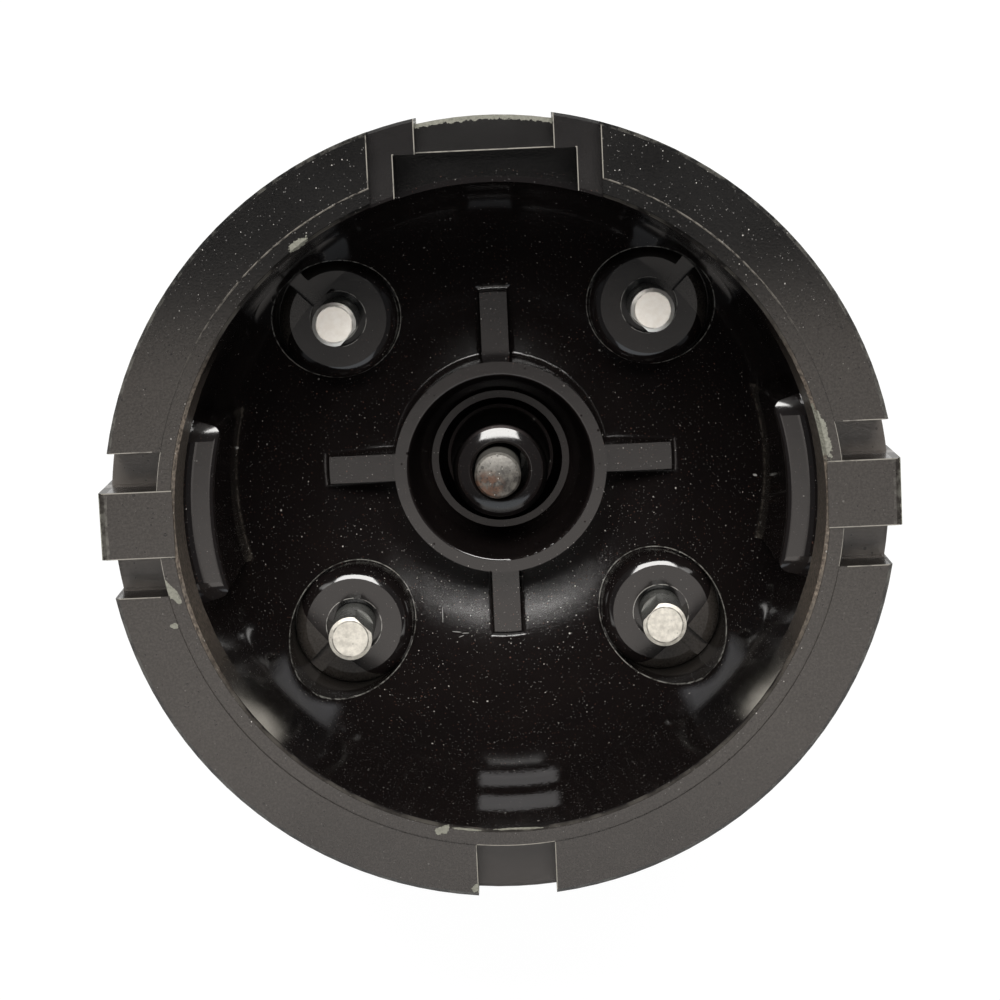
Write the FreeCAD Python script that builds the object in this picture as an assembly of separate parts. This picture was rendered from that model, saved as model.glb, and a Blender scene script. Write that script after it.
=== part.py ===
import FreeCAD, Part
import math
import os
from FreeCAD import Vector

# The cap stands on its five tower ends with its mouth up. Z = 0 is the tower ends, and the cap's axis is Z.
# Depths are measured down from the rim, as they are seen by someone looking into the mouth.
# +Y is the side with the T-shaped slot, -Y the side with the notch, and the clips sit at +X and -X.

# Whole cap
total_height = 71.0
rim_radius = 40.0
flange_height = 15.0
flange_slope = 4.4
outer_wall_radius = 36.3
crown_round = 27.3
crown_depth = 48.8
wall = 4.0
edge_chamfer = 0.4

# Mouth: a flat rim, a narrow band just below it, and a wall with a little draft
mouth_radius = 32.9
band_outer_radius = 34.7
band_step = 0.25
wall_foot_radius = 32.3
wall_foot_depth = 19.2
bowl_radius = 27.0

# Clip slots at three and nine o'clock, each with a block left standing in the middle
clip_slot_width = 14.7
clip_pad_depth = 7.3
clip_block_width = 6.8
clip_block_inner_radius = 33.0
clip_block_radius = 40.4
clip_block_break = 0.55
clip_block_break_drop = 0.3

# Bulges inside the mouth, and the recesses behind them where the spring clips press
bulge_top_depth = 8.1
bulge_cove_radius = 1.0
bulge_cove_bite = 0.05
bulge_flat_radius = 30.2
bulge_edge_round = 0.65
bulge_edge_bite = 0.03
bulge_foot_radius = 29.3
bulge_foot_depth = 32.0
bulge_flat_half_width = 7.34
bulge_end_round = 4.2
bulge_end_slope_deg = 26.0
bulge_half_angle = 17.0
bulge_corner_round = 1.2
bulge_wall = 3.7
clip_recess_width = 14.0

# T-shaped slot at twelve o'clock
tee_pad_width = 23.3
tee_pad_depth = 4.0
tee_wide_width = 18.5
tee_wide_depth = 12.5
tee_step_y = 35.8
tee_narrow_width = 14.0
tee_narrow_depth = 10.0
tee_outer_radius = 39.4

# Locating notch at six o'clock
notch_width = 8.0
notch_depth = 4.4

# Centre ring and the well inside it
ring_outer_radius = 11.9
ring_inner_radius = 10.6
ring_top_depth = 36.2
ring_edge_round = 0.35
ring_foot_round = 0.5
shoulder_outer_radius = 7.9
shoulder_inner_radius = 7.1
shoulder_depth = 44.8
trough_depth = 47.4
trough_round = 0.5

# Nose that guides the carbon brush
nose_foot_radius = 5.75
nose_side_radius = 5.3
nose_side_depth = 33.85
nose_turn_radius = 5.19
nose_turn_depth = 33.58
nose_slope_radius = 5.0
nose_slope_depth = 33.45
nose_crown_radius = 4.35
nose_crown_depth = 33.2
nose_lip_radius = 3.5
nose_lip_depth = 33.0
nose_lip_round = 0.38
guide_radius = 3.02
guide_floor_depth = 49.5

# Four ribs from the ring over the floor
rib_width = 3.06
rib_draft_deg = 1.5
rib_end_radius = 19.45
rib_height = 4.78
rib_foot_round = 0.5

# Bosses round the electrode pins
pin_circle_radius = 24.6
pin_count = 4
boss_flat_radius = 5.4
boss_edge_radius = 6.1
boss_edge_drop = 0.29
boss_side_radius = 6.61
boss_side_drop = 0.85
boss_top_depth = 37.2
boss_foot_radius = 6.78
pocket_radius = 6.8
pocket_depth = 40.2
counterbore_radius = 3.1
counterbore_depth = 1.8
channel_width = 1.8
channel_depth = 1.0

# Lead towers
tower_tip_radius = 7.75
tower_waist_radius = 8.0
tower_waist_depth = 53.0
tower_foot_radius = 9.6
tower_foot_depth = 38.0
tower_top_depth = 30.0
tower_chamfer = 0.6
centre_tower_radius = 8.4
socket_mouth_chamfer = 0.8

# Terminals: aluminium, moulded in
pin_radius = 2.4
pin_end_depth = 28.4
pin_end_chamfer = 0.4
pin_end_chamfer_drop = 0.18
pin_flat = 0.35
pin_flat_length = 5.9
shank_radius = 3.0
shank_groove_radius = 2.5
shank_groove_height = 1.6
shank_start_below_boss = 3.0
shank_collar_radius = 4.0
shank_collar_height = 1.4
cup_outer_radius = 4.2
cup_inner_radius = 3.5
cup_floor_depth = 52.5
cup_floor = 1.4
cup_depth = 13.0

# Carbon brush and its spring
brush_radius = 2.55
brush_length = 12.0
brush_tip_depth = 28.3
brush_dome = 0.25
brush_chamfer = 0.25
brush_side_play = 0.3
brush_seat_margin = 0.5
spring_wire_radius = 0.22
spring_wire_sides = 8
spring_coil_radius = 2.1
spring_turns = 6.0

# Angles round the axis, counted from +X
clip_angles = [0.0, 180.0]
rib_angles = [0.0, 90.0, 180.0, 270.0]
first_tower_angle = 45.0
tower_angles = [first_tower_angle + 360.0 / pin_count * i for i in range(pin_count)]

# Helpers: a length past the whole cap, how deep a piece runs into what carries it, and a match of two heights
far = 2.0 * total_height
sunk = 0.5
same_height = 0.001
bowl_centre_radius = wall_foot_radius - bowl_radius


def height(depth):
    """Height over the tower ends of a point at this depth under the rim."""
    return total_height - depth


def bowl_depth(radius):
    """Depth of the bowl-shaped floor at this distance from the axis."""
    return wall_foot_depth + math.sqrt(bowl_radius ** 2 - (radius - bowl_centre_radius) ** 2)


def polar(radius, degrees, z=0.0):
    angle = math.radians(degrees)
    return Vector(radius * math.cos(angle), radius * math.sin(angle), z)


def turned(steps):
    """Solid turned about Z from a closed outline of (radius, depth) steps. A pair of steps is an arc."""
    edges = []
    here = steps[0]
    for step in steps[1:] + [steps[0]]:
        is_arc = isinstance(step[0], tuple)
        end = step[1] if is_arc else step
        start_point = Vector(here[0], 0.0, height(here[1]))
        end_point = Vector(end[0], 0.0, height(end[1]))
        if is_arc:
            middle_point = Vector(step[0][0], 0.0, height(step[0][1]))
            edges.append(Part.Arc(start_point, middle_point, end_point).toShape())
        else:
            edges.append(Part.makeLine(start_point, end_point))
        here = end
    return Part.Face(Part.Wire(edges)).revolve(Vector(), Vector(0.0, 0.0, 1.0), 360.0)


def arc_middle(centre, start, end):
    """Middle of the short arc from start to end round centre, all as (radius, depth)."""
    a = math.atan2(start[1] - centre[1], start[0] - centre[0])
    b = math.atan2(end[1] - centre[1], end[0] - centre[0])
    if b - a > math.pi:
        b -= 2.0 * math.pi
    if a - b > math.pi:
        b += 2.0 * math.pi
    size = math.hypot(start[0] - centre[0], start[1] - centre[1])
    middle = (a + b) / 2.0
    return (centre[0] + size * math.cos(middle), centre[1] + size * math.sin(middle))


def arc_to(centre, start, end):
    return (arc_middle(centre, start, end), end)


def block(x_low, x_high, y_low, y_high, depth_low, depth_high):
    """Box between two depths, the lower depth being nearer the rim."""
    corner = Vector(x_low, y_low, height(depth_high))
    return Part.makeBox(x_high - x_low, y_high - y_low, depth_high - depth_low, corner)


def ring_solid(inner_radius, outer_radius, depth_low, depth_high):
    tall = depth_high - depth_low
    base = Vector(0.0, 0.0, height(depth_high))
    return Part.makeCylinder(outer_radius, tall, base).cut(Part.makeCylinder(inner_radius, tall, base))


def turned_about_z(shape, degrees):
    copy = shape.copy()
    copy.rotate(Vector(), Vector(0.0, 0.0, 1.0), degrees)
    return copy


def at_tower(shape, degrees):
    """Copy of a shape made on the axis with its +X side outward, moved to the tower at this angle."""
    copy = shape.copy()
    copy.translate(Vector(pin_circle_radius, 0.0, 0.0))
    return turned_about_z(copy, degrees)


def outer_form():
    """Outside of the moulding, filled: flange, sloping shoulder, domed crown, and all five towers."""
    round_centre = (outer_wall_radius - crown_round, crown_depth - crown_round)
    slope_end = (outer_wall_radius, flange_height + flange_slope)
    wall_end = (outer_wall_radius, round_centre[1])
    reach = centre_tower_radius - round_centre[0]
    crown_end = (centre_tower_radius, round_centre[1] + math.sqrt(crown_round ** 2 - reach ** 2))
    form = turned([
        (0.0, 0.0),
        (rim_radius - edge_chamfer, 0.0),
        (rim_radius, edge_chamfer),
        (rim_radius, flange_height),
        slope_end,
        wall_end,
        arc_to(round_centre, wall_end, crown_end),
        (centre_tower_radius, total_height - tower_chamfer),
        (centre_tower_radius - tower_chamfer, total_height),
        (0.0, total_height),
    ])
    tower = turned([
        (0.0, tower_top_depth),
        (tower_foot_radius - edge_chamfer, tower_top_depth),
        (tower_foot_radius, tower_foot_depth),
        (tower_waist_radius, tower_waist_depth),
        (tower_tip_radius, total_height - tower_chamfer),
        (tower_tip_radius - tower_chamfer, total_height),
        (0.0, total_height),
    ])
    return form.fuse([at_tower(tower, angle) for angle in tower_angles])


def hollow():
    """Space inside the mouth: the bowl, less the centre ring, the well's walls and the brush nose."""
    bowl_centre = (bowl_centre_radius, wall_foot_depth)
    foot_out = ring_outer_radius + ring_foot_round
    foot_on_bowl = (foot_out, bowl_depth(foot_out))
    foot_on_ring = (ring_outer_radius, bowl_depth(foot_out) - ring_foot_round)
    foot_centre = (foot_out, bowl_depth(foot_out) - ring_foot_round)
    ring_flat_end = (ring_inner_radius, ring_top_depth)
    ring_round_centre = (ring_inner_radius, ring_top_depth + ring_edge_round)
    ring_round_end = (ring_inner_radius - ring_edge_round, ring_top_depth + ring_edge_round)
    nose_side = (nose_side_radius, nose_side_depth)
    nose_slope = (nose_slope_radius, nose_slope_depth)
    nose_turn = (nose_turn_radius, nose_turn_depth)
    nose_crown = (nose_crown_radius, nose_crown_depth)
    nose_lip = (nose_lip_radius, nose_lip_depth)
    lip_round_centre = (nose_lip_radius, nose_lip_depth + nose_lip_round)
    lip_end = (nose_lip_radius - nose_lip_round, nose_lip_depth + nose_lip_round)
    trough_out = shoulder_inner_radius - trough_round
    return turned([
        (0.0, -edge_chamfer),
        (band_outer_radius, -edge_chamfer),
        (band_outer_radius, band_step),
        (mouth_radius + edge_chamfer, band_step),
        (mouth_radius, band_step + edge_chamfer),
        (wall_foot_radius, wall_foot_depth),
        arc_to(bowl_centre, (wall_foot_radius, wall_foot_depth), foot_on_bowl),
        arc_to(foot_centre, foot_on_bowl, foot_on_ring),
        (ring_outer_radius, ring_top_depth),
        ring_flat_end,
        arc_to(ring_round_centre, ring_flat_end, ring_round_end),
        (shoulder_outer_radius + ring_edge_round, shoulder_depth - ring_edge_round),
        (shoulder_outer_radius, shoulder_depth),
        (shoulder_inner_radius, shoulder_depth),
        (trough_out, trough_depth - trough_round),
        (trough_out - trough_round, trough_depth),
        (nose_foot_radius, trough_depth),
        nose_side,
        (nose_turn, nose_slope),
        (nose_crown, nose_lip),
        arc_to(lip_round_centre, nose_lip, lip_end),
        (guide_radius, guide_floor_depth),
        (0.0, guide_floor_depth),
    ])


def rib():
    """One rib along +X: flat top, drafted sides, and an end that follows a circle round the axis."""
    rib_top_depth = bowl_depth(ring_outer_radius) - rib_height
    foot_depth = bowl_depth(ring_outer_radius) + sunk
    flare = math.tan(math.radians(rib_draft_deg)) * (foot_depth - rib_top_depth)
    top = rib_width / 2.0
    foot = top + flare
    section = Part.makePolygon([
        Vector(0.0, -top, height(rib_top_depth)),
        Vector(0.0, top, height(rib_top_depth)),
        Vector(0.0, foot, height(foot_depth)),
        Vector(0.0, -foot, height(foot_depth)),
        Vector(0.0, -top, height(rib_top_depth)),
    ])
    bar = Part.Face(section).extrude(Vector(rim_radius, 0.0, 0.0))
    middle_of_ring_wall = (ring_inner_radius + ring_outer_radius) / 2.0
    return bar.common(ring_solid(middle_of_ring_wall, rib_end_radius, rib_top_depth, foot_depth))


def wall_radius(depth):
    """Radius of the wall inside the mouth at this depth."""
    start = band_step + edge_chamfer
    return mouth_radius - (mouth_radius - wall_foot_radius) * (depth - start) / (wall_foot_depth - start)


def rolled_end():
    """What is taken off a bulge at +X so that its +Y end rolls over."""
    slope = math.radians(bulge_end_slope_deg)
    top = height(bulge_top_depth)
    centre_z = top - bulge_end_round
    flat_end = Vector(0.0, bulge_flat_half_width, top)
    turns = []
    for angle in (slope / 2.0, slope):
        y = bulge_flat_half_width + bulge_end_round * math.sin(angle)
        turns.append(Vector(0.0, y, centre_z + bulge_end_round * math.cos(angle)))
    past_end = bulge_flat_radius
    slope_end = Vector(0.0, past_end, turns[1].z - (past_end - turns[1].y) * math.tan(slope))
    rim_end = Vector(0.0, past_end, total_height)
    rim_start = Vector(0.0, bulge_flat_half_width, total_height)
    outline = Part.Wire([
        Part.Arc(flat_end, turns[0], turns[1]).toShape(),
        Part.makeLine(turns[1], slope_end),
        Part.makeLine(slope_end, rim_end),
        Part.makeLine(rim_end, rim_start),
        Part.makeLine(rim_start, flat_end),
    ])
    return Part.Face(outline).extrude(Vector(rim_radius, 0.0, 0.0))


def bulge_outline(inner_radius, depth):
    """Closed outline of a bulge at one depth: an arc inside, rounded corners, and radial ends."""
    back = (mouth_radius + band_outer_radius) / 2.0
    z = height(depth)
    turn = bulge_corner_round
    centre_radius = inner_radius + turn
    side_start = math.sqrt(centre_radius ** 2 - turn ** 2)
    centre_angle = bulge_half_angle - math.degrees(math.asin(turn / centre_radius))
    left_corner = []
    right_corner = []
    for corner, side in ((left_corner, -1.0), (right_corner, 1.0)):
        centre = polar(centre_radius, side * centre_angle, z)
        front = polar(inner_radius, side * centre_angle, z)
        end = polar(side_start, side * bulge_half_angle, z)
        outward = (front - centre) + (end - centre)
        middle = centre + outward * (turn / outward.Length)
        corner += [front, middle, end]
    backs = [polar(back, -bulge_half_angle, z), polar(back, bulge_half_angle, z)]
    return Part.Wire([
        Part.Arc(left_corner[0], polar(inner_radius, 0.0, z), right_corner[0]).toShape(),
        Part.Arc(*right_corner).toShape(),
        Part.makeLine(right_corner[2], backs[1]),
        Part.Arc(backs[1], polar(back, 0.0, z), backs[0]).toShape(),
        Part.makeLine(backs[0], left_corner[2]),
        Part.Arc(left_corner[2], left_corner[1], left_corner[0]).toShape(),
    ])


def bulge():
    """Bulge inside the wall at +X: a ledge with a cove at its back, rolled ends, and a drafted side."""
    edge_end_radius = bulge_flat_radius - bulge_edge_round
    edge_centre = (bulge_flat_radius, bulge_top_depth + bulge_edge_round)
    edge_end = (edge_end_radius, bulge_top_depth + bulge_edge_round)
    flat_edge = (bulge_flat_radius, bulge_top_depth)
    cove_top_depth = bulge_top_depth - bulge_cove_radius
    cove_top = (wall_radius(cove_top_depth) + bulge_cove_bite, cove_top_depth)
    cove_centre = (cove_top[0] - bulge_cove_radius, cove_top_depth)
    cove_foot = (cove_centre[0], bulge_top_depth)
    section = turned([
        cove_foot,
        arc_to(cove_centre, cove_foot, cove_top),
        (rim_radius, cove_top_depth),
        (rim_radius, bulge_foot_depth),
        (bowl_radius, bulge_foot_depth),
        edge_end,
        arc_to(edge_centre, edge_end, flat_edge),
    ])
    outlines = [
        bulge_outline(edge_end_radius + bulge_edge_bite, cove_top_depth),
        bulge_outline(bulge_foot_radius, bulge_foot_depth),
    ]
    solid = Part.makeLoft(outlines, True, True).common(section)
    end = rolled_end()
    return solid.cut([end, end.mirror(Vector(), Vector(0.0, 1.0, 0.0))])


def boss():
    """Boss for one pin, on the axis: flat top, rounded edge, and a side that widens to its foot."""
    foot_depth = pocket_depth + wall
    edge = (boss_edge_radius, boss_top_depth + boss_edge_drop)
    side_top = (boss_side_radius, boss_top_depth + boss_side_drop)
    return turned([
        (0.0, boss_top_depth),
        (boss_flat_radius, boss_top_depth),
        (edge, side_top),
        (boss_foot_radius, foot_depth),
        (0.0, foot_depth),
    ])


def boss_cuts():
    """What is taken out of one boss: a counterbore round the pin and a channel out to the wall."""
    deep = counterbore_depth
    base = Vector(0.0, 0.0, height(boss_top_depth + deep))
    round_hole = Part.makeCylinder(counterbore_radius, deep, base)
    half = channel_width / 2.0
    channel = block(0.0, pocket_radius, -half, half, boss_top_depth, boss_top_depth + channel_depth)
    return round_hole.fuse(channel)


def socket():
    """Hole for one lead in a tower, on the axis. It also holds the terminal's cup."""
    top_depth = cup_floor_depth - cup_floor
    return turned([
        (0.0, top_depth),
        (cup_outer_radius, top_depth),
        (cup_outer_radius, total_height - socket_mouth_chamfer),
        (cup_outer_radius + socket_mouth_chamfer, total_height),
        (0.0, total_height),
    ])


def cup_steps():
    """Outline of a terminal's cup, from the outside of its floor round to its inside."""
    return [
        (cup_outer_radius, cup_floor_depth - cup_floor),
        (cup_outer_radius, cup_floor_depth + cup_depth),
        (cup_inner_radius, cup_floor_depth + cup_depth),
        (cup_inner_radius, cup_floor_depth),
        (0.0, cup_floor_depth),
    ]


def plug_terminal():
    """Terminal of one spark lead, on the axis: pin with a milled flat, grooved shank, and socket cup."""
    shank_top = boss_top_depth + shank_start_below_boss
    collar_top = shank_top + shank_groove_height + shank_collar_height
    collar_foot = collar_top + shank_collar_height
    solid = turned([
        (0.0, pin_end_depth),
        (pin_radius - pin_end_chamfer, pin_end_depth),
        (pin_radius, pin_end_depth + pin_end_chamfer_drop),
        (pin_radius, shank_top),
        (shank_groove_radius, shank_top),
        (shank_groove_radius, shank_top + shank_groove_height),
        (shank_radius, shank_top + shank_groove_height),
        (shank_radius, collar_top),
        (shank_collar_radius, collar_top),
        (shank_collar_radius, collar_foot),
        (shank_radius, collar_foot),
        (shank_radius, cup_floor_depth - cup_floor),
    ] + cup_steps())
    flat_end = pin_end_depth + pin_flat_length
    flat_face = pin_flat - pin_radius
    flat = block(-far, flat_face, -pin_radius, pin_radius, pin_end_depth, flat_end)
    return solid.cut(flat)


def coil_terminal():
    """Terminal of the coil lead: a seat for the brush spring on top of a socket cup."""
    seat_radius = guide_radius + brush_seat_margin
    return turned([
        (0.0, guide_floor_depth),
        (seat_radius, guide_floor_depth),
        (seat_radius, cup_floor_depth - cup_floor),
    ] + cup_steps())


def rim_cuts():
    """Slots and pads cut into the rim."""
    above = -far
    half_slot = clip_slot_width / 2.0
    half_block = clip_block_width / 2.0
    cuts = []
    for angle in clip_angles:
        for y_low, y_high in ((half_block, half_slot), (-half_slot, -half_block)):
            pad = block(wall_foot_radius, far, y_low, y_high, above, clip_pad_depth)
            pad = pad.common(ring_solid(band_outer_radius, far, above, clip_pad_depth))
            cuts.append(turned_about_z(pad, angle))
    inner = wall_foot_radius - wall
    half_pads = tee_pad_width / 2.0
    half_wide = tee_wide_width / 2.0
    half_narrow = tee_narrow_width / 2.0
    half_notch = notch_width / 2.0
    flange_foot = flange_height + flange_slope
    cuts.append(block(-half_pads, half_pads, inner, far, above, tee_pad_depth))
    cuts.append(block(-half_wide, half_wide, inner, tee_step_y, above, tee_wide_depth))
    cuts.append(block(-half_narrow, half_narrow, inner, far, above, tee_narrow_depth))
    outside = block(-half_narrow, half_narrow, inner, far, above, flange_foot)
    cuts.append(outside.common(ring_solid(tee_outer_radius, far, above, flange_foot)))
    notch = block(-half_notch, half_notch, -far, 0.0, above, notch_depth)
    cuts.append(notch.common(ring_solid(band_outer_radius, far, above, notch_depth)))
    return cuts


def clip_recess():
    """Recess behind the bulge at +X, in the outside of the cap. The spring clip presses on its upper face."""
    back = bulge_flat_radius - bulge_edge_round + bulge_wall
    half = clip_recess_width / 2.0
    top_depth = bulge_top_depth + bulge_wall
    return block(back, far, -half, half, top_depth, tower_foot_depth)


def clip_block():
    """The block left standing in a clip slot. It sticks out past the rim, and its top edge is broken off."""
    half = clip_block_width / 2.0
    foot = height(bulge_top_depth + bulge_wall)
    section = Part.makePolygon([
        Vector(clip_block_inner_radius, -half, total_height),
        Vector(clip_block_radius - clip_block_break, -half, total_height),
        Vector(clip_block_radius, -half, height(clip_block_break_drop)),
        Vector(clip_block_radius, -half, foot),
        Vector(clip_block_inner_radius, -half, foot),
        Vector(clip_block_inner_radius, -half, total_height),
    ])
    return Part.Face(section).extrude(Vector(0.0, clip_block_width, 0.0))


def is_rib_foot(edge):
    """True for an edge where a rib meets the bowl."""
    point = edge.valueAt((edge.FirstParameter + edge.LastParameter) / 2.0)
    radius = math.hypot(point.x, point.y)
    clear_of_ring = ring_outer_radius + ring_foot_round
    if radius < clear_of_ring + same_height or radius > rib_end_radius + same_height:
        return False
    return abs(point.z - height(bowl_depth(radius))) < same_height


def cap_body():
    """The black moulding, all one piece."""
    pocket_base = Vector(0.0, 0.0, height(pocket_depth))
    pocket = Part.makeCylinder(pocket_radius, pocket_depth - bulge_top_depth, pocket_base)
    shell = outer_form().cut(hollow())
    ribs = [turned_about_z(rib(), angle) for angle in rib_angles]
    shell = shell.fuse(ribs).removeSplitter()
    foot_edges = [edge for edge in shell.Edges if is_rib_foot(edge)]
    shell = shell.makeFillet(rib_foot_round, foot_edges)
    shell = shell.cut([at_tower(pocket, angle) for angle in tower_angles])
    added = [at_tower(boss(), angle) for angle in tower_angles]
    added += [turned_about_z(bulge(), angle) for angle in clip_angles]
    added += [turned_about_z(clip_block(), angle) for angle in clip_angles]
    shell = shell.fuse(added)
    taken = [at_tower(boss_cuts(), angle) for angle in tower_angles]
    taken += [at_tower(socket(), angle) for angle in tower_angles]
    taken += [at_tower(plug_terminal(), angle) for angle in tower_angles]
    taken += [socket(), coil_terminal()]
    taken += [turned_about_z(clip_recess(), angle) for angle in clip_angles]
    taken += rim_cuts()
    return shell.cut(taken).removeSplitter()


def carbon_brush():
    """Carbon brush, loose in its guide: a short rod with a slightly domed face and a chamfered edge."""
    back_depth = brush_tip_depth + brush_length
    rim = brush_radius - brush_chamfer
    dome_middle = (rim / 2.0, brush_tip_depth + brush_dome / 4.0)
    rod = turned([
        (0.0, brush_tip_depth),
        (dome_middle, (rim, brush_tip_depth + brush_dome)),
        (brush_radius, brush_tip_depth + brush_dome + brush_chamfer),
        (brush_radius, back_depth - brush_chamfer),
        (rim, back_depth),
        (0.0, back_depth),
    ])
    rod.translate(Vector(-brush_side_play, 0.0, 0.0))
    return rod


def brush_spring():
    """Wire spring between the brush's back end and the coil terminal. Its thin wire has flat sides."""
    back_depth = brush_tip_depth + brush_length
    length = guide_floor_depth - back_depth
    rise = length - 2.0 * spring_wire_radius
    first_turn = height(guide_floor_depth) + spring_wire_radius
    helix = Part.makeHelix(rise / spring_turns, rise, spring_coil_radius)
    helix.translate(Vector(0.0, 0.0, first_turn))
    corners = []
    for side in range(spring_wire_sides):
        angle = 2.0 * math.pi * side / spring_wire_sides
        x = spring_coil_radius + spring_wire_radius * math.cos(angle)
        corners.append(Vector(x, 0.0, first_turn + spring_wire_radius * math.sin(angle)))
    wire = Part.makePolygon(corners + [corners[0]])
    return Part.Wire(helix.Edges).makePipeShell([wire], True, True)


def main():
    os.makedirs("parts", exist_ok=True)
    pieces = {
        "cap_body": cap_body(),
        "coil_terminal": coil_terminal(),
        "brush_spring": brush_spring(),
        "carbon_brush": carbon_brush(),
    }
    for number, angle in enumerate(tower_angles, start=1):
        pieces[f"plug_terminal_{number}"] = at_tower(plug_terminal(), angle)
    for name, shape in pieces.items():
        shape.exportStep(f"parts/{name}.step")
        box = shape.BoundBox
        print(name, shape.ShapeType, len(shape.Solids), shape.isValid(), round(shape.Volume, 1), box)


main()
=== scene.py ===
import math

import bpy
import bmesh
from mathutils import Matrix, Vector


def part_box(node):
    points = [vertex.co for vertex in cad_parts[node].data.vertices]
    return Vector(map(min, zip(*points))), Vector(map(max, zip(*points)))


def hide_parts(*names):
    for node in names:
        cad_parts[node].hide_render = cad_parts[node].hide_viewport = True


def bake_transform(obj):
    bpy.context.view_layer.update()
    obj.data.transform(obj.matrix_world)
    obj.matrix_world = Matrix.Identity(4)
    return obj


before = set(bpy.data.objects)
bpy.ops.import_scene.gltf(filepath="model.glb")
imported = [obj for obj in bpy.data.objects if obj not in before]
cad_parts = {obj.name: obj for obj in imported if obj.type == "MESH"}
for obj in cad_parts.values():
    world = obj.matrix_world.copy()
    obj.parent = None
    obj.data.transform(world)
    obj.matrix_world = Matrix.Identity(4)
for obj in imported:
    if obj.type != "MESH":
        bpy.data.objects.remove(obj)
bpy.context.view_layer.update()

MM = 0.001

# Heights are over the floor, in metres. The cap stands on its tower ends with its mouth up.
RIM_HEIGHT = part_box("cap_body")[1].z
PIN_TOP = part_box("plug_terminal_1")[1].z
BRUSH_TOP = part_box("carbon_brush")[1].z


# Camera, looking down into the mouth from a little towards the T-slot
CAMERA_TILT = math.radians(7.5)
CAMERA_ROLL = math.radians(2.6)
CAMERA_DISTANCE = 0.312
CAMERA_LENS = 111.6
CAMERA_SHIFT = (-0.0005, 0.0095)


def add_camera():
    """The view leans back towards the T-slot, and the cap is turned a little on its own axis."""
    away = math.sin(CAMERA_TILT)
    along = math.cos(CAMERA_TILT)
    turn_x, turn_y = math.sin(CAMERA_ROLL), math.cos(CAMERA_ROLL)
    back = Vector((away * turn_x, away * turn_y, along))
    right = Vector((turn_y, -turn_x, 0.0))
    top = Vector((along * turn_x, along * turn_y, -away))
    place = Vector((0.0, 0.0, RIM_HEIGHT)) + CAMERA_DISTANCE * back
    data = bpy.data.cameras.new("camera")
    data.lens = CAMERA_LENS
    data.sensor_width = 36.0
    data.shift_x, data.shift_y = CAMERA_SHIFT
    data.clip_start = 0.01
    data.clip_end = 10.0
    camera = bpy.data.objects.new("camera", data)
    frame_turn = Matrix((right, top, back)).transposed().to_4x4()
    camera.matrix_world = Matrix.Translation(place) @ frame_turn
    bpy.context.scene.collection.objects.link(camera)
    bpy.context.scene.camera = camera


def add_panel(name, direction_deg, side_deg, distance, size, radiance, colour):
    """Rectangular soft light that faces the cap's mouth. The direction is counted from straight up towards +Y."""
    tilt = math.radians(direction_deg)
    lean = math.radians(side_deg)
    away = Vector((math.sin(lean), math.sin(tilt) * math.cos(lean), math.cos(tilt) * math.cos(lean)))
    data = bpy.data.lights.new(name, "AREA")
    data.shape = "RECTANGLE"
    data.size, data.size_y = size
    data.energy = radiance * math.pi * size[0] * size[1]
    data.color = colour
    lamp = bpy.data.objects.new(name, data)
    lamp.rotation_mode = "QUATERNION"
    lamp.rotation_quaternion = away.to_track_quat("Z", "Y")
    lamp.location = Vector((0.0, 0.0, RIM_HEIGHT)) + distance * away
    bpy.context.scene.collection.objects.link(lamp)


def add_lights():
    add_panel("key_softbox", 31.0, 0.0, 0.9, (0.56, 0.34), 18.0, (1.0, 0.985, 0.96))
    card = (1.0, 0.93, 0.875)
    add_panel("overhead_card_wide", -12.0, 0.0, 1.0, (0.66, 0.34), 0.42, card)
    add_panel("overhead_card_middle", -13.3, 0.0, 1.0, (0.66, 0.28), 0.5, card)
    add_panel("overhead_card_low", -15.0, 0.0, 1.0, (0.66, 0.26), 0.4, card)
    add_panel("overhead_card_edge", -17.5, 0.0, 1.0, (0.66, 0.2), 0.4, card)
    add_panel("front_fill", -44.0, 0.0, 1.0, (0.86, 0.46), 1.2, (0.9, 0.95, 1.0))
    world = bpy.data.worlds.new("studio")
    world.use_nodes = True
    bpy.context.scene.world = world
    tree = world.node_tree
    tree.nodes.clear()
    path = tree.nodes.new("ShaderNodeLightPath")
    room = tree.nodes.new("ShaderNodeBackground")
    room.inputs["Color"].default_value = (0.92, 0.96, 1.0, 1.0)
    room.inputs["Strength"].default_value = 0.12
    white = tree.nodes.new("ShaderNodeBackground")
    white.inputs["Color"].default_value = (0.97, 0.97, 0.97, 1.0)
    white.inputs["Strength"].default_value = 1.0
    mix = tree.nodes.new("ShaderNodeMixShader")
    out = tree.nodes.new("ShaderNodeOutputWorld")
    tree.links.new(path.outputs["Is Camera Ray"], mix.inputs["Fac"])
    tree.links.new(room.outputs[0], mix.inputs[1])
    tree.links.new(white.outputs[0], mix.inputs[2])
    tree.links.new(mix.outputs[0], out.inputs["Surface"])


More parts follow.
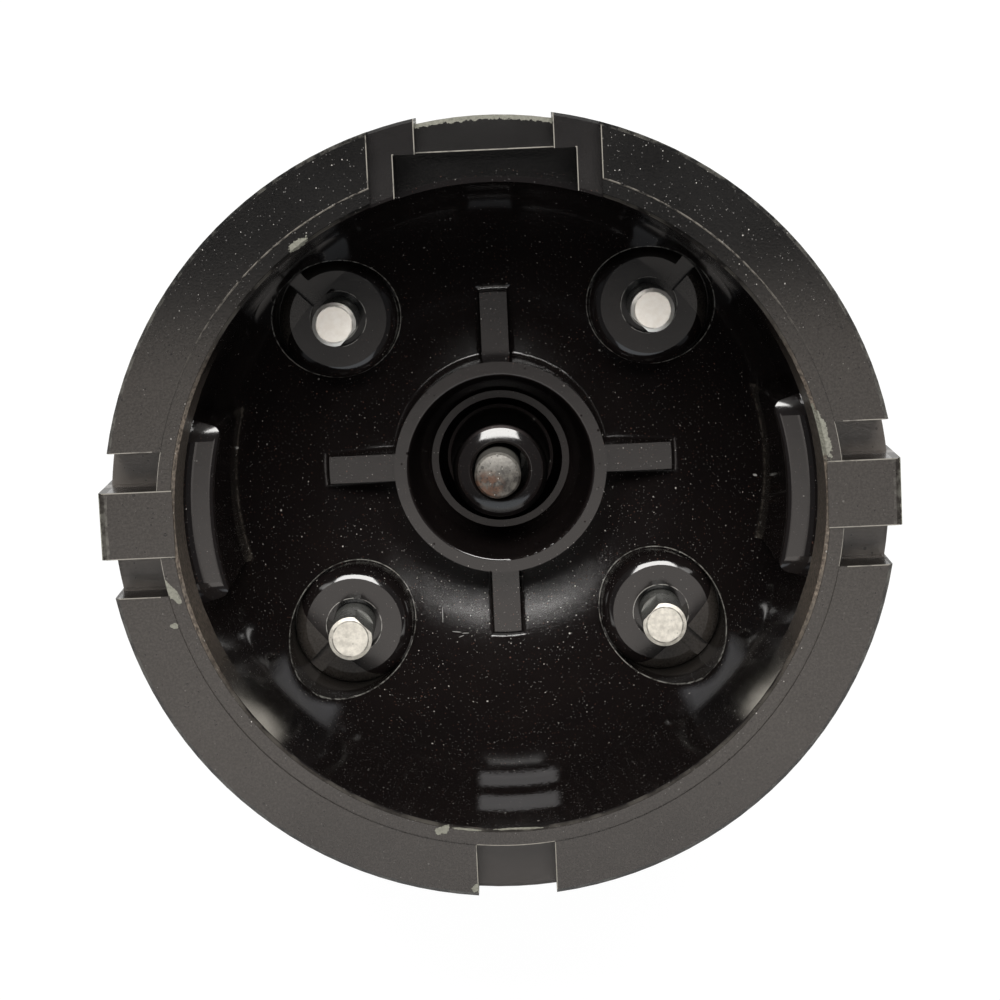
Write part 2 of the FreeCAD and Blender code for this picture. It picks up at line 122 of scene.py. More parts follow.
def add_floor():
    shape = bmesh.new()
    bmesh.ops.create_circle(shape, cap_ends=True, segments=96, radius=3.0)
    mesh = bpy.data.meshes.new("floor")
    shape.to_mesh(mesh)
    shape.free()
    floor = bpy.data.objects.new("floor", mesh)
    bpy.context.scene.collection.objects.link(floor)
    material = bpy.data.materials.new("pale_floor")
    material.use_nodes = True
    tree = material.node_tree
    tree.nodes.clear()
    path = tree.nodes.new("ShaderNodeLightPath")
    seen = tree.nodes.new("ShaderNodeMath")
    seen.operation = "MULTIPLY"
    seen.inputs[1].default_value = 0.9
    paint = tree.nodes.new("ShaderNodeBsdfDiffuse")
    paint.inputs["Color"].default_value = (0.8, 0.8, 0.8, 1.0)
    white = tree.nodes.new("ShaderNodeEmission")
    white.inputs["Color"].default_value = (1.0, 1.0, 1.0, 1.0)
    white.inputs["Strength"].default_value = 1.08
    mix = tree.nodes.new("ShaderNodeMixShader")
    out = tree.nodes.new("ShaderNodeOutputMaterial")
    tree.links.new(path.outputs["Is Camera Ray"], seen.inputs[0])
    tree.links.new(seen.outputs[0], mix.inputs["Fac"])
    tree.links.new(paint.outputs[0], mix.inputs[1])
    tree.links.new(white.outputs[0], mix.inputs[2])
    tree.links.new(mix.outputs[0], out.inputs["Surface"])
    floor.data.materials.append(material)


class Finish:
    """A procedural material under construction. Lengths in its patterns are in millimetres."""

    def __init__(self, name, roughness, metallic=0.0, ior=1.5):
        self.material = bpy.data.materials.new(name)
        self.material.use_nodes = True
        self.tree = self.material.node_tree
        self.tree.nodes.clear()
        self.shader = self.node("ShaderNodeBsdfPrincipled")
        self.shader.inputs["Roughness"].default_value = roughness
        self.shader.inputs["Metallic"].default_value = metallic
        self.shader.inputs["IOR"].default_value = ior
        out = self.node("ShaderNodeOutputMaterial")
        self.link(self.shader.outputs[0], out.inputs["Surface"])
        place = self.node("ShaderNodeTexCoord")
        scale = self.node("ShaderNodeMapping")
        scale.inputs["Scale"].default_value = (1.0 / MM, 1.0 / MM, 1.0 / MM)
        self.link(place.outputs["Object"], scale.inputs["Vector"])
        self.place = scale.outputs["Vector"]
        split = self.node("ShaderNodeSeparateXYZ")
        self.link(self.place, split.inputs[0])
        self.x, self.y, self.z = split.outputs
        self.height = None

    def node(self, kind):
        return self.tree.nodes.new(kind)

    def link(self, a, b):
        self.tree.links.new(a, b)

    def put(self, value, socket):
        if isinstance(value, bpy.types.NodeSocket):
            self.link(value, socket)
        else:
            socket.default_value = value

    def math(self, operation, a, b=0.0, c=0.0):
        node = self.node("ShaderNodeMath")
        node.operation = operation
        for value, socket in zip((a, b, c), node.inputs):
            self.put(value, socket)
        return node.outputs[0]

    def radius(self, x=0.0, y=0.0):
        """Distance from an upright line through (x, y)."""
        dx = self.math("SUBTRACT", self.x, x)
        dy = self.math("SUBTRACT", self.y, y)
        return self.math("SQRT", self.math("ADD", self.math("MULTIPLY", dx, dx), self.math("MULTIPLY", dy, dy)))

    def ramp(self, value, low, high, start=0.0, end=1.0):
        """Smooth step of a value: start below low, end above high."""
        node = self.node("ShaderNodeMapRange")
        node.interpolation_type = "SMOOTHSTEP"
        self.put(value, node.inputs["Value"])
        node.inputs["From Min"].default_value = low
        node.inputs["From Max"].default_value = high
        node.inputs["To Min"].default_value = start
        node.inputs["To Max"].default_value = end
        return node.outputs["Result"]

    def noise(self, size, detail=3.0, roughness=0.5, place=None, distortion=0.0):
        """Cloudy noise whose blotches are about this many millimetres across."""
        node = self.node("ShaderNodeTexNoise")
        node.inputs["Scale"].default_value = 1.0 / size
        node.inputs["Detail"].default_value = detail
        node.inputs["Roughness"].default_value = roughness
        node.inputs["Distortion"].default_value = distortion
        self.link(place or self.place, node.inputs["Vector"])
        return node.outputs["Fac"]

    def specks(self, spacing, radius, share, shift=0.0):
        """Mask of small round specks. Share is how many of the places on the grid hold one."""
        move = self.node("ShaderNodeVectorMath")
        move.operation = "ADD"
        self.link(self.place, move.inputs[0])
        move.inputs[1].default_value = (shift, 2.0 * shift, 3.0 * shift)
        node = self.node("ShaderNodeTexVoronoi")
        node.inputs["Scale"].default_value = 1.0 / spacing
        self.link(move.outputs[0], node.inputs["Vector"])
        split = self.node("ShaderNodeSeparateColor")
        self.link(node.outputs["Color"], split.inputs[0])
        size = self.math("MULTIPLY", split.outputs[1], radius / spacing)
        near = self.math("LESS_THAN", node.outputs["Distance"], size)
        chosen = self.math("LESS_THAN", split.outputs[0], share)
        return self.math("MULTIPLY", near, chosen)

    def near(self, value, at, half):
        """Mask of the places where a value is within half of another."""
        return self.math("COMPARE", value, at, half)

    def between(self, value, low, high):
        return self.math("MULTIPLY", self.math("GREATER_THAN", value, low), self.math("LESS_THAN", value, high))

    def both(self, first, *more):
        mask = first
        for other in more:
            mask = self.math("MULTIPLY", mask, other)
        return mask

    def either(self, first, *more):
        mask = first
        for other in more:
            mask = self.math("MAXIMUM", mask, other)
        return mask

    def chip(self, x, y, long_half, short_half, turn_deg, ragged):
        """Mask of a ragged oval chip round (x, y), seen from above."""
        turn = math.radians(turn_deg)
        dx = self.math("SUBTRACT", self.x, x)
        dy = self.math("SUBTRACT", self.y, y)
        along = self.math("ADD", self.math("MULTIPLY", dx, math.cos(turn)), self.math("MULTIPLY", dy, math.sin(turn)))
        across = self.math("SUBTRACT", self.math("MULTIPLY", dy, math.cos(turn)), self.math("MULTIPLY", dx, math.sin(turn)))
        along = self.math("DIVIDE", along, long_half)
        across = self.math("DIVIDE", across, short_half)
        reach = self.math("SQRT", self.math("MULTIPLY_ADD", along, along, self.math("MULTIPLY", across, across)))
        return self.math("LESS_THAN", self.math("ADD", reach, ragged), 1.0)

    def blend(self, mask, under, over):
        """Colour that goes from under to over where the mask is one."""
        node = self.node("ShaderNodeMix")
        node.data_type = "RGBA"
        self.put(mask, node.inputs[0])
        self.put(under, node.inputs[6])
        self.put(over, node.inputs[7])
        return node.outputs[2]

    def colour(self, value):
        self.put(value, self.shader.inputs["Base Color"])

    def rough(self, value):
        self.put(value, self.shader.inputs["Roughness"])

    def bump(self, value, depth, strength=1.0):
        """Adds relief of this depth in millimetres on top of what is there."""
        node = self.node("ShaderNodeBump")
        node.inputs["Strength"].default_value = strength
        node.inputs["Distance"].default_value = depth * MM
        self.link(value, node.inputs["Height"])
        if self.height is not None:
            self.link(self.height, node.inputs["Normal"])
        self.height = node.outputs["Normal"]
        self.link(self.height, self.shader.inputs["Normal"])


# Sizes of the moulding's edges, in millimetres, where its finish shows wear
SLOT_EDGES = [(11.65, 0.0, 29.0, 41.0), (9.25, 4.0, 29.0, 35.9), (7.0, 4.0, 35.7, 40.0)]
TEE_STEP = 35.8
MOUTH = 32.9
BAND = 34.7
BLOCK_HALF = 3.4
SLOT_HALF = 7.35
NOTCH_HALF = 4.0
PIN_PLACE = 24.6 * math.sqrt(0.5)
POCKET = 6.8
BOSS_TOP = 37.2
# Chips in the moulding, in millimetres: x, y, half length, half width, turn in degrees
CHIPS = [
    (-18.9, 27.5, 1.15, 0.42, 33.0),
    (32.35, 6.4, 3.0, 0.75, 108.0),
    (-33.6, -6.9, 1.5, 0.45, 128.0),
    (-33.5, -10.4, 0.4, 0.3, 0.0),
    (-7.4, -32.75, 0.75, 0.42, 12.0),
    (0.4, -33.0, 2.6, 0.09, 0.0),
    (-5.0, -32.8, 1.6, 0.1, -8.0),
    (-17.4, -24.0, 0.16, 0.12, 0.0),
    (-4.3, -38.9, 0.5, 0.35, 40.0),
    (-7.1, 38.6, 0.35, 0.6, 0.0),
]
# Scratches on the bowl's floor, written the same way
SCRATCHES = [
    (-7.45, -17.5, 0.85, 0.035, 90.0),
    (-5.9, -19.4, 0.5, 0.04, 172.0),
    (-4.9, -19.6, 0.4, 0.035, 178.0),
    (-5.4, -19.9, 0.3, 0.035, 15.0),
]
# Painted highlights: bright glints at the foot of the clip bulges, written the same way
PAINTED_GLINT_SPOTS = [
    (-29.0, 4.02, 0.16, 0.13, 0.0),
    (-29.49, -1.37, 0.16, 0.13, 0.0),
    (-28.97, -6.59, 0.2, 0.15, 40.0),
    (28.28, -1.79, 0.2, 0.12, 0.0),
    (28.61, -6.83, 0.2, 0.13, 70.0),
]


def worn_edges(f, depth, r):
    """Mask of the thin light lines where the moulding's sharp edges are rubbed."""
    side_x = f.math("ABSOLUTE", f.x)
    side_y = f.math("ABSOLUTE", f.y)
    lines = []
    for x, edge_depth, y_low, y_high in SLOT_EDGES:
        at_edge = f.both(f.near(side_x, x, 0.1), f.near(depth, edge_depth, 0.14))
        lines.append(f.both(at_edge, f.between(f.y, y_low, y_high)))
    step = f.both(f.near(f.y, TEE_STEP, 0.12), f.near(depth, 10.0, 0.14))
    lines.append(f.both(step, f.math("LESS_THAN", side_x, 7.1)))
    on_top = f.math("LESS_THAN", depth, 0.14)
    lines.append(f.both(on_top, f.near(side_x, NOTCH_HALF, 0.09), f.math("LESS_THAN", f.y, -MOUTH)))
    lines.append(f.both(on_top, f.near(side_y, BLOCK_HALF, 0.1), f.math("GREATER_THAN", side_x, MOUTH)))
    lines.append(f.both(on_top, f.near(side_y, SLOT_HALF, 0.09), f.math("GREATER_THAN", side_x, BAND)))
    lines.append(f.both(f.math("LESS_THAN", depth, 0.4), f.near(r, BAND, 0.06), f.between(side_y, BLOCK_HALF, SLOT_HALF),
                        f.math("GREATER_THAN", side_x, 33.0)))
    lines.append(f.both(f.math("LESS_THAN", depth, 0.4), f.near(r, BAND, 0.09), f.math("LESS_THAN", side_x, NOTCH_HALF),
                        f.math("LESS_THAN", f.y, -MOUTH)))
    return f.either(*lines)


def phenolic_finish():
    """Black moulded phenolic: glossy inside, duller on the rim, rubbed at its edges, with dust all over, and with
    painted light and shade: painted reflections and highlights in the bowl, and painted shade in its hollows, T-slot
    and on the rim.
    """
    f = Finish("black_phenolic", 0.2, ior=1.55)
    r = f.radius()
    side_x = f.math("ABSOLUTE", f.x)
    side_y = f.math("ABSOLUTE", f.y)
    depth = f.math("SUBTRACT", RIM_HEIGHT / MM, f.z)
    cloud = f.noise(7.0, 4.0)
    grain = f.ramp(f.noise(0.24, 4.0, 0.7), 0.36, 0.64)
    fine = f.noise(0.16, 2.0)
    ragged = f.math("MULTIPLY_ADD", f.noise(0.5, 4.0, 0.65), 1.6, -0.8)
    on_rim = f.math("LESS_THAN", depth, 0.5)
    level_parts = f.both(f.math("LESS_THAN", depth, 13.0), f.either(on_rim, f.math("GREATER_THAN", r, 33.1)))
    pads = f.both(f.between(depth, 5.0, 7.6), f.math("GREATER_THAN", r, 34.0), f.math("LESS_THAN", side_y, 7.6))
    tee = f.both(f.between(depth, 6.0, 13.0), f.math("GREATER_THAN", f.y, 28.0), f.between(r, 33.1, 39.65))
    tee = f.both(tee, f.math("LESS_THAN", side_x, 12.0))
    up_side = f.ramp(f.y, 12.0, 29.0)
    flanks = f.both(f.ramp(f.y, -36.0, -22.0), f.math("SUBTRACT", 1.0, f.ramp(f.y, 17.0, 27.0)))
    far_out = f.math("MAXIMUM", f.math("SUBTRACT", r, 5.3), 0.0)
    far_down = f.math("MAXIMUM", f.math("SUBTRACT", depth, 19.2), 0.0)
    from_bowl = f.math("SQRT", f.math("MULTIPLY_ADD", far_out, far_out, f.math("MULTIPLY", far_down, far_down)))
    outside = f.both(f.math("GREATER_THAN", from_bowl, 28.9), f.math("GREATER_THAN", depth, 14.5))
    outside = f.either(outside, f.both(f.math("GREATER_THAN", r, 39.7), f.math("GREATER_THAN", depth, 0.3)))
    floor_zone = f.both(f.ramp(depth, 38.5, 42.5), f.math("GREATER_THAN", r, 12.2), f.math("LESS_THAN", from_bowl, 28.0))
    trough = f.both(f.between(r, 4.75, 7.0), f.math("GREATER_THAN", depth, 33.0))
    shoulder = f.both(f.between(r, 7.0, 8.2), f.math("GREATER_THAN", depth, 28.0))
    pin_x = f.math("SUBTRACT", side_x, PIN_PLACE)
    pin_y = f.math("SUBTRACT", side_y, PIN_PLACE)
    from_pin = f.math("SQRT", f.math("MULTIPLY_ADD", pin_x, pin_x, f.math("MULTIPLY", pin_y, pin_y)))
    across = f.math("ABSOLUTE", f.math("SUBTRACT", pin_y, pin_x))
    outward = f.math("ADD", pin_x, pin_y)
    below_boss = f.math("GREATER_THAN", depth, BOSS_TOP + 0.15)
    in_channel = f.both(f.math("LESS_THAN", across, 1.5), f.math("GREATER_THAN", outward, 3.0))
    in_channel = f.both(in_channel, f.math("LESS_THAN", from_pin, POCKET), below_boss)
    in_hole = f.both(f.math("LESS_THAN", from_pin, 3.15), below_boss)
    broken_boss = f.both(f.chip(-20.3, 20.6, 2.7, 1.7, -14.0, ragged), f.math("GREATER_THAN", depth, 36.0))
    in_bowl = f.math("LESS_THAN", from_bowl, 28.6)
    hollow = f.both(f.either(in_channel, broken_boss), in_bowl)
    in_hole = f.both(in_hole, in_bowl)
    pocket_edge = f.both(f.between(from_pin, 6.82, 6.93), f.math("GREATER_THAN", depth, 26.0), in_bowl)
    mouth_wall = f.both(f.between(depth, 0.3, 7.4), f.between(r, 32.3, 33.25), f.ramp(side_y, 20.0, 9.0))

    black = f.blend(cloud, (0.0052, 0.0042, 0.0044, 1.0), (0.0098, 0.0074, 0.0068, 1.0))
    dull = f.blend(grain, (0.013, 0.0112, 0.0098, 1.0), (0.0245, 0.021, 0.0187, 1.0))
    # Painted light and shade on the rim: lighter on its left and right parts, darker towards +Y.
    painted_lit_flank = f.blend(grain, (0.0225, 0.0194, 0.0168, 1.0), (0.0385, 0.0335, 0.0295, 1.0))
    painted_shade_dull = f.blend(grain, (0.001, 0.0009, 0.0009, 1.0), (0.0048, 0.0042, 0.0038, 1.0))
    dull = f.blend(flanks, dull, painted_lit_flank)
    dull = f.blend(up_side, dull, painted_shade_dull)
    colour = f.blend(f.either(on_rim, outside, f.both(level_parts, 0.45)), black, dull)
    # Painted light: the clip pads, in shade under the slot walls, are given a lighter colour.
    painted_lit_pad = f.blend(f.noise(1.3, 4.0, 0.6), (0.095, 0.083, 0.074, 1.0), (0.14, 0.124, 0.11, 1.0))
    colour = f.blend(pads, colour, painted_lit_pad)
    # Painted shade: the T-slot's floors are painted darker than the black moulding.
    deep_tee = f.both(tee, f.math("LESS_THAN", f.y, TEE_STEP))
    colour = f.blend(deep_tee, colour, (0.0014, 0.0012, 0.0011, 1.0))
    colour = f.blend(f.both(tee, f.math("GREATER_THAN", f.y, TEE_STEP)), colour, (0.0035, 0.0029, 0.0026, 1.0))
    pits = f.both(f.either(f.specks(0.5, 0.11, 0.5, 2.1), f.specks(1.4, 0.2, 0.4, 6.1)), f.math("LESS_THAN", depth, 7.6))
    colour = f.blend(f.both(pits, 0.65), colour, (0.002, 0.0017, 0.0016, 1.0))

    ledge = f.both(f.between(depth, 7.85, 8.5), f.math("LESS_THAN", r, 33.0))
    boss_top = f.both(f.near(depth, BOSS_TOP, 0.12), f.math("LESS_THAN", from_pin, 6.2))
    clean = f.math("SUBTRACT", 1.0, f.both(f.either(ledge, boss_top, f.math("LESS_THAN", r, 11.7)), 0.72))
    lower = f.ramp(f.y, 16.0, -8.0, 0.45, 1.0)
    dusty_rim = f.math("MULTIPLY_ADD", up_side, 0.85, 0.15)
    dusty = f.both(f.either(f.both(in_bowl, lower), f.both(on_rim, dusty_rim)), clean)
    red = f.either(f.specks(0.36, 0.06, 0.7, 7.3), f.specks(1.5, 0.11, 0.4, 4.4))
    colour = f.blend(f.both(red, in_bowl, f.math("GREATER_THAN", depth, 0.6), clean, 0.75), colour, (0.12, 0.06, 0.045, 1.0))
    dim = f.either(f.specks(0.32, 0.062, 0.8, 1.7), f.specks(0.45, 0.08, 0.6, 5.9))
    colour = f.blend(f.both(dim, dusty, 0.8), colour, (0.105, 0.1, 0.095, 1.0))
    white = f.either(f.specks(0.55, 0.075, 0.5), f.specks(1.6, 0.13, 0.45, 9.1))
    white = f.both(white, dusty)
    # Painted reflection: a brown speckled strip on the mouth wall at the left and right.
    wall_reflection_brown = f.blend(f.ramp(f.noise(0.4, 4.0, 0.75), 0.3, 0.7), (0.03, 0.022, 0.017, 1.0), (0.3, 0.245, 0.195, 1.0))
    colour = f.blend(f.both(mouth_wall, 0.85), colour, wall_reflection_brown)
    # Painted reflection: a streaked light strip along the foot of the clip bulges.
    foot_reflection_strip = f.both(f.ramp(depth, 25.0, 26.5), f.ramp(depth, 32.1, 31.5), f.math("LESS_THAN", side_y, 8.6))
    foot_reflection_strip = f.both(foot_reflection_strip, f.math("GREATER_THAN", r, 28.2), in_bowl)
    reflection_streaks = f.ramp(f.noise(0.8, 4.0, 0.7), 0.38, 0.62, 0.15, 0.8)
    colour = f.blend(f.both(foot_reflection_strip, reflection_streaks), colour, (0.085, 0.074, 0.062, 1.0))
    # Painted reflection: bluish-grey patches on the bowl beyond the lower bosses.
    cloudy = f.ramp(f.noise(0.4, 4.0, 0.7), 0.2, 0.6, 0.55, 1.0)
    reflection_patches = f.both(f.ramp(from_pin, 6.95, 7.5), f.ramp(outward, 7.8, 9.4), f.ramp(outward, 14.2, 11.8), f.ramp(across, 7.2, 4.4))
    reflection_patches = f.both(reflection_patches, f.math("LESS_THAN", f.y, 0.0), in_bowl, cloudy, f.ramp(depth, 17.5, 21.5))
    colour = f.blend(reflection_patches, colour, (0.072, 0.072, 0.077, 1.0))
    # Painted reflection: two light bands on the bowl's wall towards -Y.
    wavy = f.math("MULTIPLY_ADD", ragged, 2.2, depth)
    upper_reflection_band = f.both(f.ramp(wavy, 6.4, 8.6), f.ramp(wavy, 14.4, 12.4))
    lower_reflection_band = f.both(f.ramp(wavy, 16.4, 18.6), f.ramp(wavy, 24.0, 21.6))
    reflection_band_side = f.math("MULTIPLY_ADD", ragged, 0.7, f.math("ABSOLUTE", f.math("SUBTRACT", f.x, 0.5)))
    reflection_bands = f.both(f.either(f.both(upper_reflection_band, 0.95), lower_reflection_band), f.ramp(reflection_band_side, 4.7, 3.7), f.math("LESS_THAN", f.y, -31.0))
    reflection_bands = f.both(reflection_bands, in_bowl)
    colour = f.blend(reflection_bands, colour, (0.098, 0.095, 0.097, 1.0))
    # Painted shade: the channels, the broken boss and the pin holes are painted darker than the moulding.
    colour = f.blend(f.both(f.either(hollow, in_hole), 0.9), colour, (0.0022, 0.0018, 0.0016, 1.0))
    glints = f.both(hollow, f.ramp(f.noise(0.3, 3.0, 0.7), 0.62, 0.7))
    colour = f.blend(glints, colour, (0.2, 0.19, 0.17, 1.0))
    colour = f.blend(white, colour, (0.42, 0.4, 0.37, 1.0))
    scratches = f.both(f.either(*[f.chip(*scratch, f.math("MULTIPLY", ragged, 0.3)) for scratch in SCRATCHES]), in_bowl)
    colour = f.blend(f.both(scratches, 0.75), colour, (0.34, 0.335, 0.32, 1.0))
    # Painted highlights: small bright glints at the foot of the clip bulges.
    painted_glint_spots = f.both(f.either(*[f.chip(*spot, f.math("MULTIPLY", ragged, 0.4)) for spot in PAINTED_GLINT_SPOTS]), in_bowl)
    colour = f.blend(f.both(painted_glint_spots, f.math("GREATER_THAN", depth, 30.2)), colour, (0.5, 0.49, 0.46, 1.0))

    wear = f.both(worn_edges(f, depth, r), f.ramp(f.noise(1.4, 3.0, 0.6), 0.28, 0.5, 0.4, 1.0))
    colour = f.blend(wear, colour, (0.25, 0.232, 0.2, 1.0))
    # Painted highlight: thin bright arcs round the edge of each pin hole.
    hole_edge_highlight = f.both(f.near(from_pin, 3.12, 0.07), f.near(depth, BOSS_TOP, 0.3), f.ramp(f.noise(1.2, 3.0), 0.4, 0.55))
    colour = f.blend(f.both(hole_edge_highlight, 0.8), colour, (0.3, 0.29, 0.27, 1.0))
    # Painted highlight: broken bright arcs along each boss pocket's outline.
    pocket_edge_highlight = f.both(pocket_edge, f.ramp(f.noise(0.8, 4.0, 0.7), 0.4, 0.6, 0.1, 0.9))
    colour = f.blend(pocket_edge_highlight, colour, (0.24, 0.235, 0.215, 1.0))
    lip = f.both(f.between(depth, 0.27, 0.6), f.between(r, 32.6, 33.25))
    colour = f.blend(f.both(lip, f.ramp(f.noise(2.5, 3.0), 0.4, 0.65, 0.05, 0.45)), colour, (0.12, 0.11, 0.095, 1.0))
    band_line = f.both(f.near(r, BAND, 0.09), f.math("LESS_THAN", depth, 0.4))
    band_wear = f.both(band_line, up_side, f.ramp(f.noise(0.9, 3.0, 0.7), 0.35, 0.6))
    colour = f.blend(band_wear, colour, (0.24, 0.22, 0.19, 1.0))
    outer_line = f.both(f.math("GREATER_THAN", r, 39.62), f.between(depth, -0.1, 0.5))
    outer_wear = f.both(outer_line, f.ramp(f.noise(1.8, 4.0, 0.7), 0.42, 0.62))
    colour = f.blend(f.both(outer_wear, 0.7), colour, (0.12, 0.115, 0.1, 1.0))

    chips = [f.chip(*chip, ragged) for chip in CHIPS]
    chipped = f.both(f.either(*chips), f.math("LESS_THAN", depth, 1.0))
    tee_reach = f.math("ADD", r, f.math("MULTIPLY", ragged, 0.6))
    tee_break = f.both(f.math("GREATER_THAN", tee_reach, 38.95), f.between(depth, 9.5, 13.0), f.math("LESS_THAN", side_x, 7.2))
    block_reach = f.math("ADD", side_x, f.math("MULTIPLY", ragged, 0.25))
    block_break = f.both(f.math("GREATER_THAN", block_reach, 40.3), f.math("LESS_THAN", depth, 3.0))
    raw = f.either(chipped, tee_break, block_break)
    pale = f.blend(f.noise(0.28, 5.0, 0.75), (0.035, 0.033, 0.026, 1.0), (0.36, 0.355, 0.29, 1.0))
    colour = f.blend(raw, colour, pale)
    f.colour(colour)

    painted_light_and_rubbing = f.either(raw, wear, white, f.both(dim, dusty, 0.5), hollow, mouth_wall, reflection_patches, reflection_bands, scratches)
    gloss = f.ramp(cloud, 0.3, 0.7, 0.085, 0.12)
    gloss = f.math("ADD", gloss, f.both(floor_zone, 0.02))
    gloss = f.math("ADD", gloss, f.both(level_parts, f.math("SUBTRACT", 1.0, pads), 0.1))
    gloss = f.math("ADD", gloss, f.both(outside, 0.15))
    gloss = f.math("ADD", gloss, f.both(trough, 0.25))
    gloss = f.math("ADD", gloss, f.both(shoulder, 0.12))
    gloss = f.math("ADD", gloss, f.both(painted_light_and_rubbing, 0.4))
    f.rough(gloss)
    nicks = f.both(f.specks(0.85, 0.17, 0.45, 11.3), f.between(r, 8.3, 11.9))
    dimmed = f.either(f.both(hollow, 0.9), f.both(trough, 0.93), f.both(shoulder, 0.45), f.both(deep_tee, 0.5))
    # The rim towards +Y also gets less reflection: painted shade, as in its colour.
    dimmed = f.either(dimmed, f.both(nicks, 0.9), f.both(up_side, on_rim, 0.3))
    f.put(f.both(dimmed, f.math("SUBTRACT", 1.0, f.either(white, reflection_bands, reflection_patches))), f.shader.inputs["Metallic"])
    f.bump(f.noise(2.2, 2.0), 0.004)
    f.bump(f.both(grain, level_parts), 0.0035)
    f.bump(f.both(f.noise(0.17, 3.0, 0.8), floor_zone), 0.02)
    f.bump(f.both(f.noise(0.5, 3.0, 0.7), f.either(hollow, mouth_wall)), 0.12)
    f.bump(f.both(f.noise(0.35, 3.0, 0.7), raw), 0.12)
    f.bump(fine, 0.0012)
    return f.material


def aluminium_finish():
    """Turned aluminium, dulled by use: pale on the pins' ends, darker down their sides, with painted light on the ends
    of the pins towards +Y.
    """
    f = Finish("worn_aluminium", 0.5, metallic=0.45)
    pin_x = f.math("SUBTRACT", f.math("ABSOLUTE", f.x), PIN_PLACE)
    pin_y = f.math("SUBTRACT", f.math("ABSOLUTE", f.y), PIN_PLACE)
    from_pin = f.math("SQRT", f.math("MULTIPLY_ADD", pin_x, pin_x, f.math("MULTIPLY", pin_y, pin_y)))
    drop = f.math("SUBTRACT", PIN_TOP / MM, f.z)
    cloud = f.noise(0.7, 5.0, 0.65)
    fine = f.noise(0.1, 3.0, 0.6)
    pale = f.blend(f.ramp(cloud, 0.3, 0.7), (0.56, 0.53, 0.47, 1.0), (0.82, 0.78, 0.7, 1.0))
    pits = f.specks(0.42, 0.09, 0.55, 3.3)
    pale = f.blend(f.both(pits, 0.5), pale, (0.22, 0.2, 0.17, 1.0))
    groove = f.both(f.near(from_pin, 1.98, 0.07), f.ramp(f.noise(0.9, 3.0), 0.35, 0.6, 0.3, 1.0))
    pale = f.blend(f.both(groove, f.math("LESS_THAN", drop, 0.06)), pale, (0.2, 0.19, 0.17, 1.0))
    side = f.blend(f.noise(0.5, 4.0, 0.7), (0.1, 0.1, 0.095, 1.0), (0.34, 0.34, 0.32, 1.0))
    # Painted light: the ends of the pins towards +Y, which get less key light, are given a brighter and shinier finish.
    painted_light_and_rubbing = f.both(f.ramp(f.y, 8.0, 11.0), f.math("LESS_THAN", drop, 0.25))
    painted_light_tone = f.blend(f.ramp(cloud, 0.3, 0.7), (0.9, 0.86, 0.79, 1.0), (0.99, 0.96, 0.9, 1.0))
    pale = f.blend(f.both(painted_light_and_rubbing, f.math("SUBTRACT", 1.0, f.both(groove, 0.6))), pale, painted_light_tone)
    f.put(f.math("MULTIPLY_ADD", painted_light_and_rubbing, 0.45, 0.45), f.shader.inputs["Metallic"])
    f.colour(f.blend(f.ramp(drop, 0.15, 0.35), pale, side))
    dull_end = f.math("SUBTRACT", f.ramp(cloud, 0.3, 0.7, 0.45, 0.6), f.ramp(drop, 0.15, 0.35, 0.0, 0.22))
    f.rough(f.math("SUBTRACT", dull_end, f.both(painted_light_and_rubbing, 0.13)))
    f.bump(f.noise(0.4, 4.0, 0.6), 0.012)
    f.bump(fine, 0.005)
    return f.material


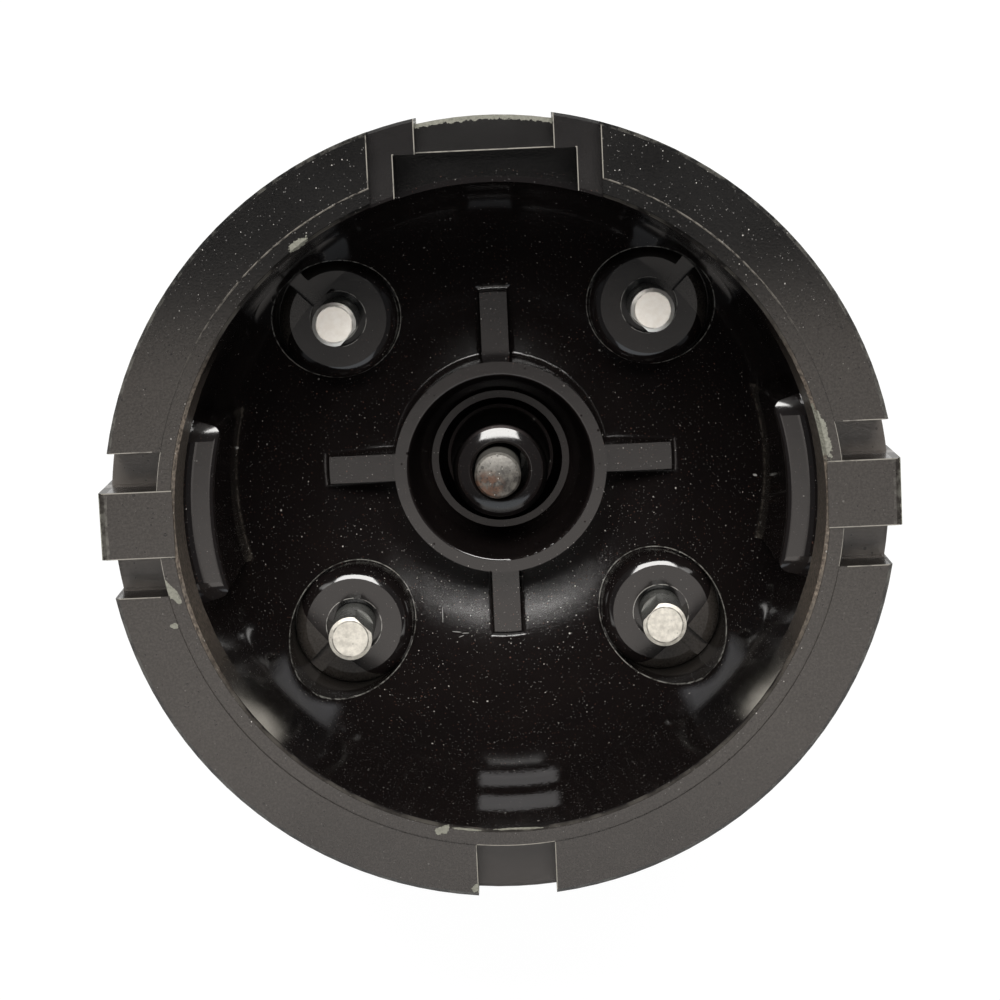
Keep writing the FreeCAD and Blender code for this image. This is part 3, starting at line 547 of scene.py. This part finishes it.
def carbon_finish():
    """Carbon brush: grey, mottled, with a painted highlight on the upper side of its face and a rust-brown stain at one
    side of it.
    """
    f = Finish("brush_carbon", 0.45, metallic=0.3)
    cloud = f.noise(0.8, 5.0, 0.65)
    colour = f.blend(f.ramp(cloud, 0.36, 0.68), (0.028, 0.024, 0.021, 1.0), (0.125, 0.115, 0.1, 1.0))
    # Painted highlight: the upper side of the brush's face, towards +Y, is painted brighter.
    lit_upper_side = f.ramp(f.math("ADD", f.y, f.math("MULTIPLY", f.noise(0.5, 3.0), 1.6)), 0.4, 2.6)
    painted_light_tone = f.blend(f.noise(0.35, 4.0, 0.7), (0.1, 0.093, 0.083, 1.0), (0.34, 0.325, 0.295, 1.0))
    colour = f.blend(f.both(lit_upper_side, 0.8), colour, painted_light_tone)
    stain = f.both(f.ramp(f.radius(-1.5, -1.2), 2.3, 0.9), f.ramp(f.noise(0.6, 3.0), 0.35, 0.6))
    colour = f.blend(f.both(stain, 0.7), colour, (0.13, 0.062, 0.035, 1.0))
    pits = f.either(f.specks(0.4, 0.12, 0.5, 3.1), f.specks(0.9, 0.2, 0.4, 6.7))
    colour = f.blend(f.both(pits, 0.7), colour, (0.02, 0.017, 0.014, 1.0))
    colour = f.blend(f.specks(0.5, 0.1, 0.5, 8.8), colour, (0.4, 0.38, 0.34, 1.0))
    f.colour(colour)
    f.bump(f.noise(0.25, 4.0, 0.6), 0.03)
    return f.material


def spring_finish():
    f = Finish("spring_wire", 0.3, metallic=1.0)
    f.colour(f.blend(f.noise(0.8, 3.0), (0.5, 0.49, 0.47, 1.0), (0.68, 0.67, 0.65, 1.0)))
    f.bump(f.noise(0.1, 2.0), 0.002)
    return f.material


def dress(node, material):
    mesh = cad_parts[node].data
    mesh.materials.clear()
    mesh.materials.append(material)


def add_pressed_spring(material):
    """The spring behind the brush: a copy of the CAD spring with its doubled points merged, which takes the CAD
    spring's place.
    """
    shape = bmesh.new()
    shape.from_mesh(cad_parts["brush_spring"].data)
    bmesh.ops.remove_doubles(shape, verts=shape.verts, dist=0.0001 * MM)
    mesh = bpy.data.meshes.new("pressed_spring")
    shape.to_mesh(mesh)
    shape.free()
    mesh.materials.clear()
    mesh.materials.append(material)
    spring = bpy.data.objects.new("pressed_spring", mesh)
    bpy.context.scene.collection.objects.link(spring)
    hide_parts("brush_spring")
    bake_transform(spring)


add_camera()
add_lights()
add_floor()

dress("cap_body", phenolic_finish())
aluminium = aluminium_finish()
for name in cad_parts:
    if name.startswith("plug_terminal") or name == "coil_terminal":
        dress(name, aluminium)
dress("carbon_brush", carbon_finish())
add_pressed_spring(spring_finish())

bpy.context.scene.view_settings.view_transform = "Standard"
